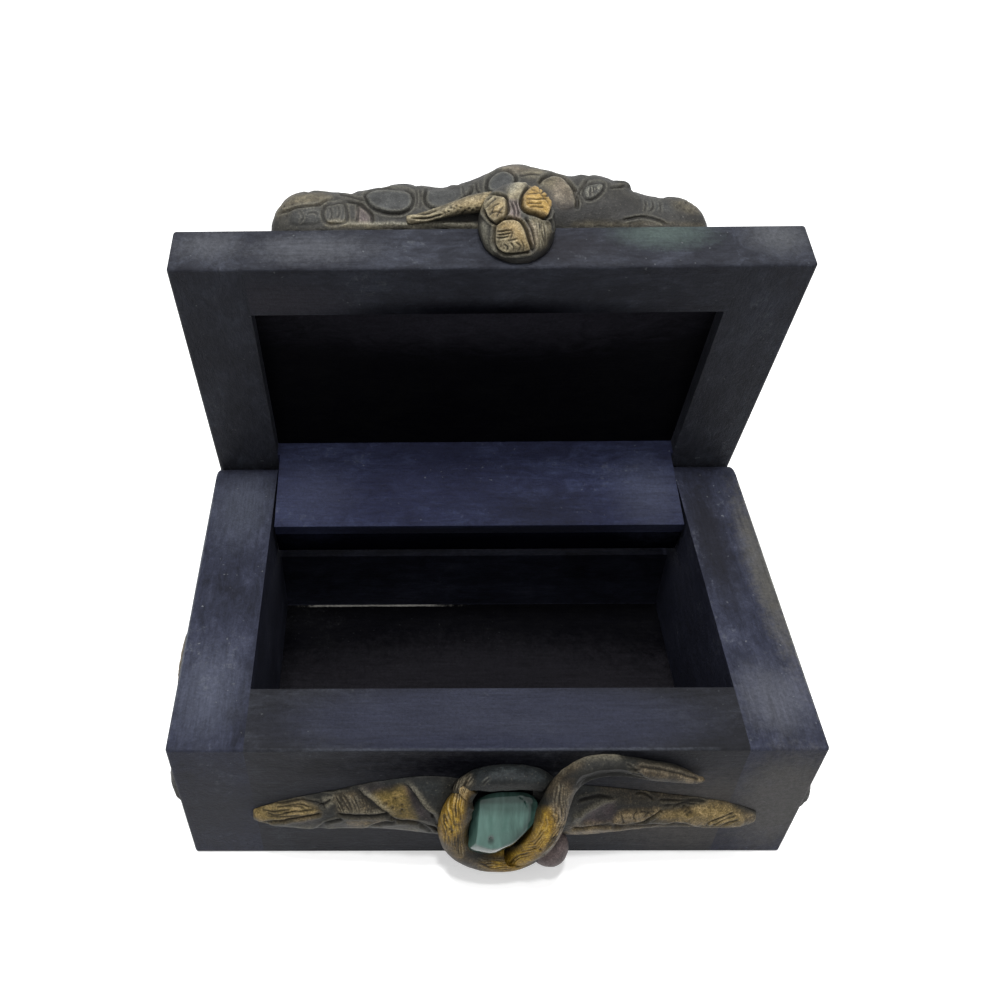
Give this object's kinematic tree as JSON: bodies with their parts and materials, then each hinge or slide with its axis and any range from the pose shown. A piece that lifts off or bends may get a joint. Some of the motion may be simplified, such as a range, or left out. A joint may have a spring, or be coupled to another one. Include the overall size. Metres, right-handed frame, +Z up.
{
  "type": "trinket box",
  "caption": "Dark painted wooden trinket box with a hinged lid, a glossy pale teal stone framed by sculpted leaves on the front, and a patterned reclining creature along the lid.",
  "frame": {"origin": "centre of the underside, on the surface the box stands on", "axes": "+X to the right seen from the front, +Y to the back, +Z up"},
  "size_m": [0.1679, 0.1366, 0.1511],
  "materials": {
    "painted_wood": "dark navy grey wash, worn at the edges",
    "dowel_wood": "bare dowel, stained dark",
    "clay": "baked clay, olive grey with rubbed gold and mauve",
    "gilded_clay": "baked clay with rubbed gold",
    "stone": "polished, pale teal"
  },
  "bodies": {
    "base": {"base_side_left": "painted_wood", "base_side_right": "painted_wood", "base_front_plank": "painted_wood", "base_back_plank": "painted_wood", "bottom_panel": "painted_wood", "hinge_pin_left": "dowel_wood", "hinge_pin_right": "dowel_wood", "turquoise_stone": "stone", "stone_coil": "gilded_clay", "stone_hood": "clay", "front_horn": "gilded_clay", "front_bulb": "clay", "front_wing_left": "clay", "front_wing_right": "clay", "side_leaf_left": "clay", "side_leaf_right": "clay"},
    "lid": {"lid_side_left": "painted_wood", "lid_side_right": "painted_wood", "lid_front_rail": "painted_wood", "lid_top_panel": "painted_wood", "lid_back_plank": "painted_wood", "clay_bed": "clay", "creature_tail": "clay", "creature_shoulder": "clay", "creature_flank": "clay", "creature_head": "clay", "creature_arm": "clay"}
  },
  "joints": [
    {"name": "lid_hinge", "type": "hinge", "parent": "base", "child": "lid", "pos_m": [0, 0.042, 0.0461], "axis": [1, 0, 0], "range_deg": [0, 78.4]}
  ]
}
